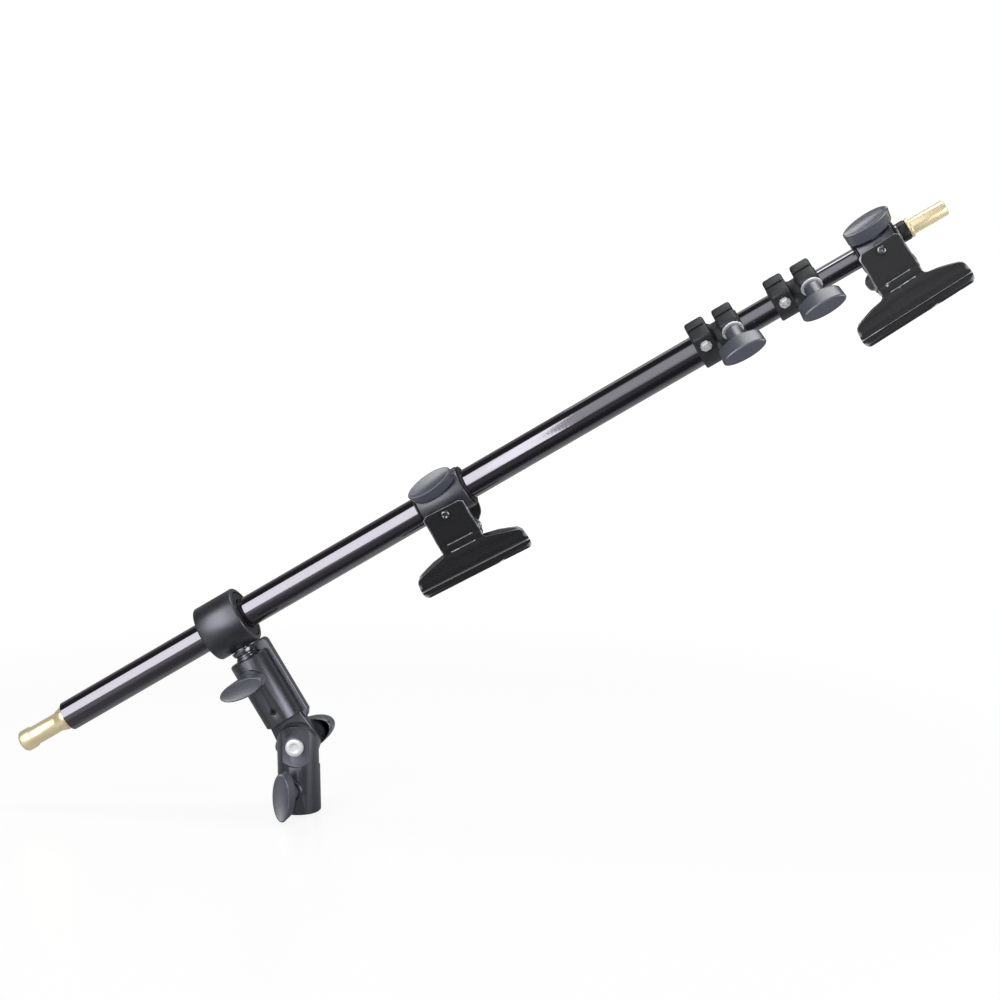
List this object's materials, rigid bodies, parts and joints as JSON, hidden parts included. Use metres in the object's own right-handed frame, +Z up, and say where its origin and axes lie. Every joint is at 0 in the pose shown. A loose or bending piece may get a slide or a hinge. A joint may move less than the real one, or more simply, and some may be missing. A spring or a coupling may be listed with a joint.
{
  "type": "boom arm",
  "caption": "Telescopic boom arm on a tilting stand head, with tube locks, hand knobs and spring bulldog clips that hold a reflector panel.",
  "frame": {"origin": "centre of the stand socket's mouth, on the underside of the lower receiver", "axes": "+Z up along the stand socket, +X toward the boom's high front end, -Y toward the side with the jaws and hand knobs"},
  "size_m": [0.6862, 0.0701, 0.4351],
  "materials": {
    "clip1_bush_front_nylon": "satin black",
    "clip1_bush_rear_nylon": "satin black",
    "clip1_front_jaw_black_sheet": "semi-gloss black",
    "clip1_knob_knob_plastic": "fine-textured blue grey",
    "clip1_pin_steel": "bright",
    "clip1_rear_jaw_black_sheet": "semi-gloss black",
    "clip1_rivet_dark_steel": "blackened",
    "clip1_screw_steel": "bright",
    "clip1_sleeve_satin_cast": "satin dark grey",
    "clip1_spring_steel": "bright",
    "clip2_bush_front_nylon": "satin black",
    "clip2_bush_rear_nylon": "satin black",
    "clip2_front_jaw_black_sheet": "semi-gloss black",
    "clip2_knob_knob_plastic": "fine-textured blue grey",
    "clip2_pin_steel": "bright",
    "clip2_rear_jaw_black_sheet": "semi-gloss black",
    "clip2_rivet_dark_steel": "blackened",
    "clip2_screw_steel": "bright",
    "clip2_sleeve_satin_cast": "satin dark grey",
    "clip2_spring_steel": "bright",
    "collar_bush_nylon": "satin black",
    "front_cap_nylon": "satin black",
    "front_stud_brass": "polished",
    "inner_glide_nylon": "satin black",
    "inner_tube_gloss_tube": "gloss black",
    "lock1_body_lock_plastic": "fine-textured black",
    "lock1_bolt_steel": "bright",
    "lock1_knob_knob_plastic": "fine-textured blue grey",
    "lock1_nut_steel": "bright",
    "lock1_screw_steel": "bright",
    "lock1_washer_steel": "bright",
    "lock2_body_lock_plastic": "fine-textured black",
    "lock2_bolt_steel": "bright",
    "lock2_knob_knob_plastic": "fine-textured blue grey",
    "lock2_nut_steel": "bright",
    "lock2_screw_steel": "bright",
    "lock2_washer_steel": "bright",
    "lower_grip_knob_knob_plastic": "fine-textured blue grey",
    "lower_grip_screw_steel": "bright",
    "lower_receiver_satin_cast": "satin dark grey",
    "main_tube_gloss_tube": "gloss black",
    "middle_glide_nylon": "satin black",
    "middle_tube_gloss_tube": "gloss black",
    "rear_spigot_brass": "polished",
    "swivel_collar_satin_cast": "satin dark grey",
    "swivel_stud_dark_steel": "blackened",
    "tilt_bolt_steel": "bright",
    "tilt_friction_disc_steel": "bright",
    "tilt_knob_knob_plastic": "fine-textured blue grey",
    "tilt_washer_steel": "bright",
    "upper_grip_knob_knob_plastic": "fine-textured blue grey",
    "upper_grip_screw_steel": "bright",
    "upper_receiver_satin_cast": "satin dark grey",
    "upper_set_screw_nylon": "satin black"
  },
  "bodies": {
    "base": {"lower_receiver": "lower_receiver_satin_cast", "tilt_bolt": "tilt_bolt_steel", "tilt_friction_disc": "tilt_friction_disc_steel", "tilt_washer": "tilt_washer_steel"},
    "lower_grip": {"lower_grip_knob": "lower_grip_knob_knob_plastic", "lower_grip_screw": "lower_grip_screw_steel"},
    "tilt_grip": {"tilt_knob": "tilt_knob_knob_plastic"},
    "head": {"upper_receiver": "upper_receiver_satin_cast", "upper_set_screw": "upper_set_screw_nylon"},
    "upper_grip": {"upper_grip_knob": "upper_grip_knob_knob_plastic", "upper_grip_screw": "upper_grip_screw_steel"},
    "collar": {"swivel_collar": "swivel_collar_satin_cast", "swivel_stud": "swivel_stud_dark_steel"},
    "bush": {"collar_bush": "collar_bush_nylon"},
    "boom": {"main_tube": "main_tube_gloss_tube", "rear_spigot": "rear_spigot_brass", "lock1_body": "lock1_body_lock_plastic", "lock1_bolt": "lock1_bolt_steel", "lock1_nut": "lock1_nut_steel", "lock1_washer": "lock1_washer_steel"},
    "lock1_grip": {"lock1_knob": "lock1_knob_knob_plastic", "lock1_screw": "lock1_screw_steel"},
    "section1": {"middle_tube": "middle_tube_gloss_tube", "middle_glide": "middle_glide_nylon", "lock2_body": "lock2_body_lock_plastic", "lock2_bolt": "lock2_bolt_steel", "lock2_nut": "lock2_nut_steel", "lock2_washer": "lock2_washer_steel"},
    "lock2_grip": {"lock2_knob": "lock2_knob_knob_plastic", "lock2_screw": "lock2_screw_steel"},
    "section2": {"inner_tube": "inner_tube_gloss_tube", "inner_glide": "inner_glide_nylon", "front_cap": "front_cap_nylon", "front_stud": "front_stud_brass"},
    "clip1_slider": {"clip1_bush_rear": "clip1_bush_rear_nylon", "clip1_bush_front": "clip1_bush_front_nylon"},
    "clip1_mount": {"clip1_sleeve": "clip1_sleeve_satin_cast", "clip1_rivet": "clip1_rivet_dark_steel"},
    "clip1_grip": {"clip1_knob": "clip1_knob_knob_plastic", "clip1_screw": "clip1_screw_steel"},
    "clip1_front": {"clip1_front_jaw": "clip1_front_jaw_black_sheet", "clip1_pin": "clip1_pin_steel", "clip1_spring": "clip1_spring_steel"},
    "clip1_rear": {"clip1_rear_jaw": "clip1_rear_jaw_black_sheet"},
    "clip2_slider": {"clip2_bush_rear": "clip2_bush_rear_nylon", "clip2_bush_front": "clip2_bush_front_nylon"},
    "clip2_mount": {"clip2_sleeve": "clip2_sleeve_satin_cast", "clip2_rivet": "clip2_rivet_dark_steel"},
    "clip2_grip": {"clip2_knob": "clip2_knob_knob_plastic", "clip2_screw": "clip2_screw_steel"},
    "clip2_front": {"clip2_front_jaw": "clip2_front_jaw_black_sheet", "clip2_pin": "clip2_pin_steel", "clip2_spring": "clip2_spring_steel"},
    "clip2_rear": {"clip2_rear_jaw": "clip2_rear_jaw_black_sheet"}
  },
  "joints": [
    {"name": "head_tilt", "type": "hinge", "parent": "base", "child": "head", "pos_m": [0, 0, 0.05], "axis": [0, 1, 0], "range_deg": [-60, 90]},
    {"name": "tilt_grip_turn", "type": "hinge", "parent": "base", "child": "tilt_grip", "pos_m": [0, 0, 0.05], "axis": [0, 1, 0], "continuous": true},
    {"name": "lower_grip_turn", "type": "hinge", "parent": "base", "child": "lower_grip", "pos_m": [-0.00288, -0.01817, 0.0184], "axis": [-0.1564, -0.9877, 0], "continuous": true},
    {"name": "upper_grip_turn", "type": "hinge", "parent": "head", "child": "upper_grip", "pos_m": [-0.03082, -0.01689, 0.09803], "axis": [-0.1355, -0.9877, -0.0782], "continuous": true},
    {"name": "head_swivel", "type": "hinge", "parent": "head", "child": "collar", "pos_m": [-0.0505, 0, 0.13747], "axis": [-0.5, 0, 0.866], "continuous": true},
    {"name": "boom_roll", "type": "hinge", "parent": "collar", "child": "bush", "pos_m": [-0.0505, 0, 0.13747], "axis": [0.866, 0, 0.5], "continuous": true},
    {"name": "boom_slide", "type": "slide", "parent": "bush", "child": "boom", "axis": [0.866, 0, 0.5], "range_m": [-0.06, 0.1]},
    {"name": "lock1_knob_turn", "type": "hinge", "parent": "boom", "child": "lock1_grip", "pos_m": [0.31363, -0.01842, 0.34778], "axis": [0.3473, -0.7193, -0.6016], "continuous": true},
    {"name": "section1_slide", "type": "slide", "parent": "boom", "child": "section1", "axis": [0.866, 0, 0.5], "range_m": [0, 0.4]},
    {"name": "lock2_knob_turn", "type": "hinge", "parent": "section1", "child": "lock2_grip", "pos_m": [0.36705, -0.01727, 0.37726], "axis": [0.3473, -0.7193, -0.6016], "continuous": true},
    {"name": "section2_slide", "type": "slide", "parent": "section1", "child": "section2", "axis": [0.866, 0, 0.5], "range_m": [0, 0.37]},
    {"name": "clip1_slide", "type": "slide", "parent": "boom", "child": "clip1_slider", "axis": [0.866, 0, 0.5], "range_m": [-0.02, 0.1]},
    {"name": "clip1_turn", "type": "hinge", "parent": "clip1_slider", "child": "clip1_mount", "pos_m": [0.10971, 0, 0.22997], "axis": [0.866, 0, 0.5], "continuous": true},
    {"name": "clip1_knob_turn", "type": "hinge", "parent": "clip1_mount", "child": "clip1_grip", "pos_m": [0.10544, -0.01341, 0.23737], "axis": [-0.2687, -0.8434, 0.4653], "continuous": true},
    {"name": "clip1_swing", "type": "hinge", "parent": "clip1_mount", "child": "clip1_front", "pos_m": [0.10941, 0.00144, 0.2245], "axis": [0.1504, -0.9537, -0.2604], "range_deg": [-8, 8]},
    {"name": "clip1_open", "type": "hinge", "parent": "clip1_front", "child": "clip1_rear", "pos_m": [0.12, 0.00099, 0.20386], "axis": [0.8898, 0.0157, 0.4561], "range_deg": [0, 18], "stiffness_Nm_per_rad": 2.5, "springref_deg": -6.88},
    {"name": "clip2_slide", "type": "slide", "parent": "section2", "child": "clip2_slider", "axis": [0.866, 0, 0.5], "range_m": [-0.006, 0]},
    {"name": "clip2_turn", "type": "hinge", "parent": "clip2_slider", "child": "clip2_mount", "pos_m": [0.41196, 0, 0.40447], "axis": [0.866, 0, 0.5], "range_deg": [-14, 90]},
    {"name": "clip2_knob_turn", "type": "hinge", "parent": "clip2_mount", "child": "clip2_grip", "pos_m": [0.40702, -0.0089, 0.41303], "axis": [-0.3716, -0.6691, 0.6436], "continuous": true},
    {"name": "clip2_swing", "type": "hinge", "parent": "clip2_mount", "child": "clip2_front", "pos_m": [0.41321, 0.00009, 0.40231], "axis": [0.0174, -0.9994, -0.0302], "range_deg": [-8, 8]},
    {"name": "clip2_open", "type": "hinge", "parent": "clip2_front", "child": "clip2_rear", "pos_m": [0.4251, -0.00394, 0.38362], "axis": [0.8434, -0.0015, 0.5373], "range_deg": [0, 18], "stiffness_Nm_per_rad": 2.5, "springref_deg": -6.88}
  ]
}
